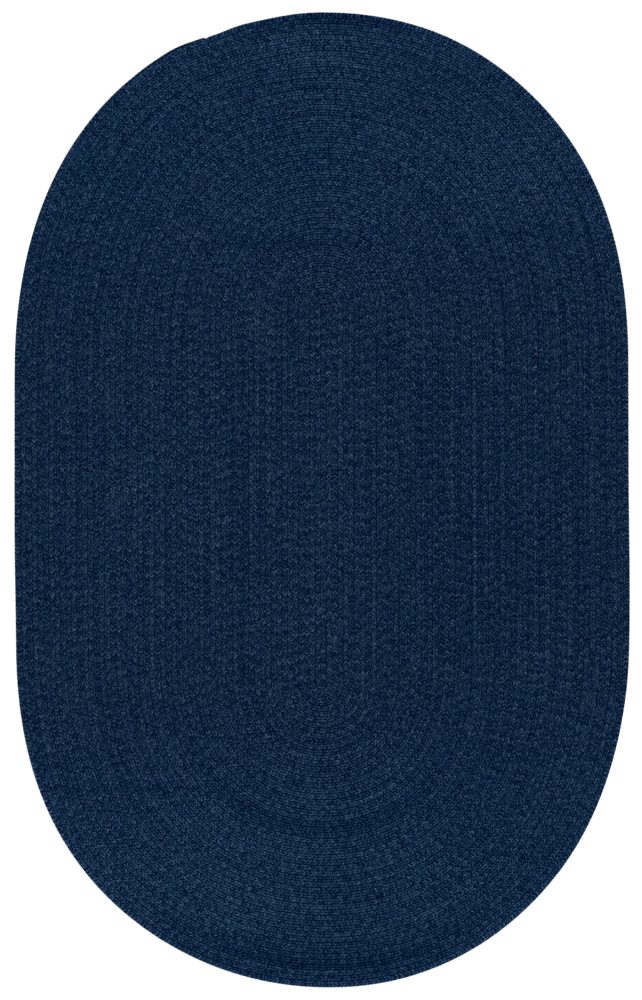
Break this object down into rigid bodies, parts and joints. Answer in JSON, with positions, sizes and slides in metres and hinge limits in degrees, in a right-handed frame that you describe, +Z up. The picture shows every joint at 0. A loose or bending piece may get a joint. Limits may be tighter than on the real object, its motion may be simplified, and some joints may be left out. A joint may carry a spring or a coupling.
{
  "type": "oval braided rug",
  "caption": "Flat oval rug of one navy flat braid, wound outward in a spiral and laced row to row, for a floor.",
  "frame": {"origin": "middle of the rug's outline, on the floor it lies on", "axes": "+Z up out of the floor, +Y along the rug's length towards the end where the braid stops, +X across its width"},
  "size_m": [1.538, 2.438, 0.0095],
  "materials": {
    "braid": "matte"
  },
  "bodies": {
    "root": {"braided_rug": "braid"}
  },
  "joints": []
}
